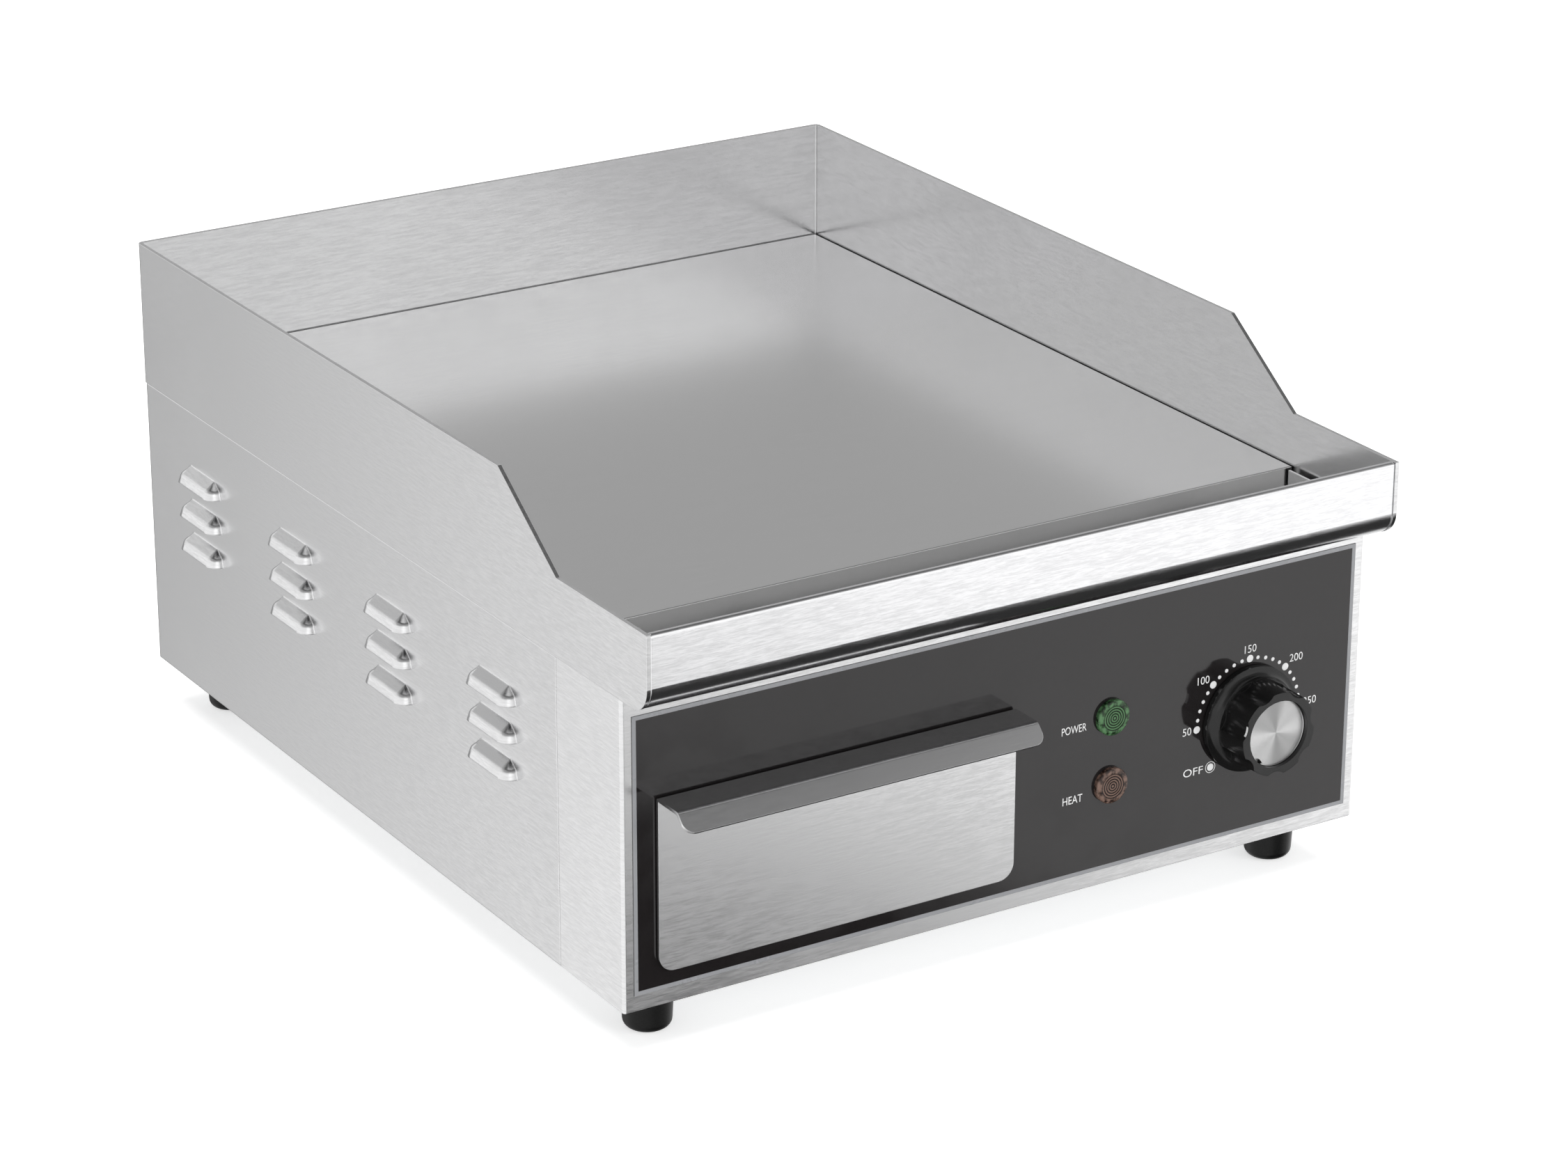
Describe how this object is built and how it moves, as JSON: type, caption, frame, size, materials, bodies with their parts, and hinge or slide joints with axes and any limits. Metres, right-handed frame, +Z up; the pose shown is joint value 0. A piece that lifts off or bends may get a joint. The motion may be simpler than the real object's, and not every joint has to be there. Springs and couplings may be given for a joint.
{
  "type": "electric flat top griddle",
  "caption": "Countertop electric flat top griddle with a smooth steel plate, tall splash guard, front grease trough, pull-out grease drawer and a thermostat knob.",
  "frame": {"origin": "centre of the footprint of the whole griddle, on the worktop under its feet", "axes": "+X to the right seen from the control panel, +Y from the control panel to the back, +Z up"},
  "size_m": [0.4132, 0.5276, 0.246],
  "materials": {
    "brushed_stainless": "fine brushed grain",
    "galvanised_sheet": "plain galvanised",
    "plain_stainless": "plain mill finish",
    "cooking_steel": "ground along the width",
    "black_film": "gloss black with a grey edge",
    "black_knob": "gloss black",
    "spun_aluminium": "spun",
    "green_lens": "ribbed translucent",
    "amber_lens": "ribbed translucent",
    "black_rubber": "satin",
    "element_sheath": "heat-darkened",
    "ceramic_fibre": "fibrous",
    "brass_fittings": "machined",
    "copper_capillary": "drawn tube",
    "moulded_housing": "matte",
    "gland_plastic": "matte",
    "wire_sleeving": "braided glass sleeving",
    "zinc_steel": "bright zinc"
  },
  "bodies": {
    "housing": {"base_pan": "galvanised_sheet", "bonding_nuts": "brass_fittings", "bonding_stud": "brass_fittings", "cable_gland": "gland_plastic", "clamp_nuts": "zinc_steel", "clamp_studs": "zinc_steel", "control_overlay": "black_film", "cutout_bracket": "galvanised_sheet", "cutout_bulb": "copper_capillary", "cutout_capillary": "copper_capillary", "drain_spout": "plain_stainless", "drawer_housing": "galvanised_sheet", "drawer_runner_left": "galvanised_sheet", "drawer_runner_right": "galvanised_sheet", "element_clamp_front": "zinc_steel", "element_clamp_rear": "zinc_steel", "foot_front_left": "black_rubber", "foot_front_right": "black_rubber", "foot_nuts": "zinc_steel", "foot_rear_left": "black_rubber", "foot_rear_right": "black_rubber", "foot_screws": "zinc_steel", "front_fascia": "brushed_stainless", "front_panel": "brushed_stainless", "gland_cap_nut": "gland_plastic", "gland_locknut": "gland_plastic", "grease_trough": "plain_stainless", "griddle_plate": "cooking_steel", "heat_lamp_body": "moulded_housing", "heat_lamp_lens": "amber_lens", "heating_element_centre": "element_sheath", "heating_element_left": "element_sheath", "heating_element_right": "element_sheath", "insulation_block": "ceramic_fibre", "insulation_tray": "galvanised_sheet", "lamp_clips": "zinc_steel", "left_side_panel": "brushed_stainless", "plate_nuts": "zinc_steel", "plate_studs": "zinc_steel", "power_lamp_body": "moulded_housing", "power_lamp_lens": "green_lens", "rear_panel": "galvanised_sheet", "rear_panel_screws": "zinc_steel", "right_side_panel": "brushed_stainless", "safety_cutout": "moulded_housing", "splash_guard": "brushed_stainless", "terminal_block": "moulded_housing", "thermostat_body": "moulded_housing", "thermostat_bulb": "copper_capillary", "thermostat_capillary": "copper_capillary", "thermostat_screws": "zinc_steel", "wiring_loom": "wire_sleeving"},
    "drawer": {"drawer_front": "brushed_stainless", "drawer_pan": "plain_stainless"},
    "knob": {"knob": "black_knob", "knob_cap": "spun_aluminium", "thermostat_shaft": "zinc_steel"}
  },
  "joints": [
    {"name": "drawer_slide", "type": "slide", "parent": "housing", "child": "drawer", "axis": [0, -1, 0], "range_m": [0, 0.15]},
    {"name": "knob_turn", "type": "hinge", "parent": "housing", "child": "knob", "pos_m": [0.1355, -0.23722, 0.08965], "axis": [0, 1, 0], "range_deg": [-60.4, 164.6]}
  ]
}
